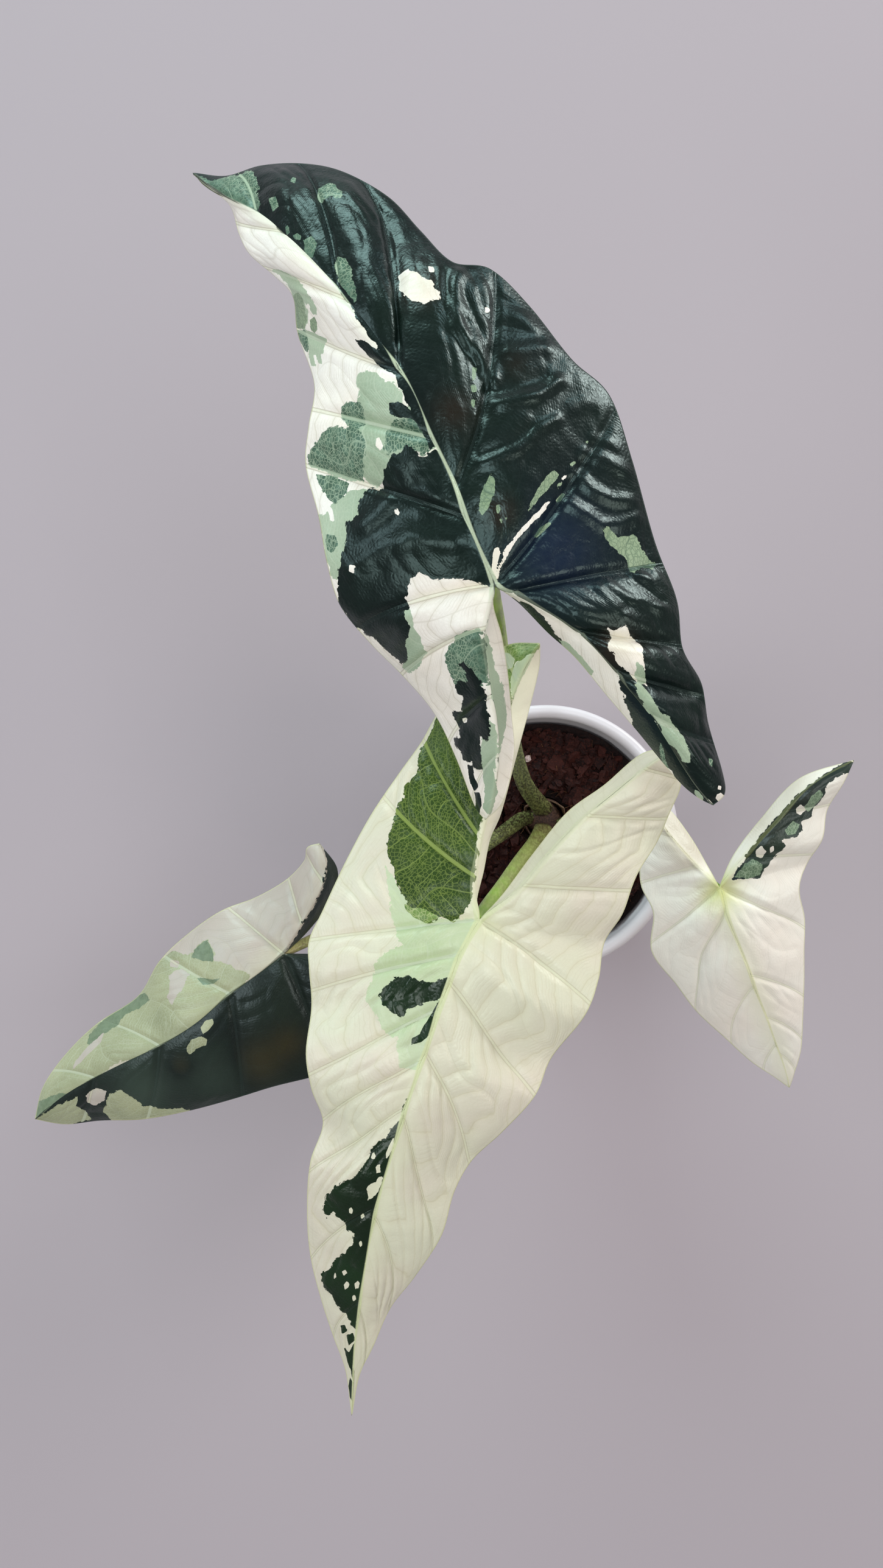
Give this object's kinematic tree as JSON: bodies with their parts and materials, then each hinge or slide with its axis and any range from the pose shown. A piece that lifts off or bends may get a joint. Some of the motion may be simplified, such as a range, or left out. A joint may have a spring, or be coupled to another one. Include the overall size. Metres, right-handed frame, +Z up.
{
  "type": "potted foliage plant",
  "caption": "Potted variegated alocasia: large arrow-shaped leaves, part dark green and part cream, on slim stalks from one crown, in coco mix in a round tapered pot.",
  "frame": {"origin": "centre of the pot's base, on the surface the pot stands on", "axes": "+Z up; +X to the right and +Y to the top of the picture, which looks straight down"},
  "size_m": [0.2922, 0.3722, 0.3737],
  "materials": {
    "pot": "smooth, plain white",
    "soil": "damp coco chips and bark, dark red-brown",
    "crown": "fibrous, brown",
    "stalk": "smooth, satin, green turning pinkish brown at the foot",
    "leaf_dark": "glossy, quilted, near-black green with sage and cream patches",
    "leaf_cream": "satin, cream with fine grey-green veins and dark green patches"
  },
  "bodies": {
    "root": {"pot": "pot", "soil": "soil", "crown": "crown", "stalk_top": "stalk", "stalk_centre": "stalk", "stalk_left": "stalk", "stalk_right": "stalk", "leaf_top": "leaf_dark", "leaf_centre": "leaf_cream", "leaf_left": "leaf_dark", "leaf_right": "leaf_cream"}
  },
  "joints": []
}
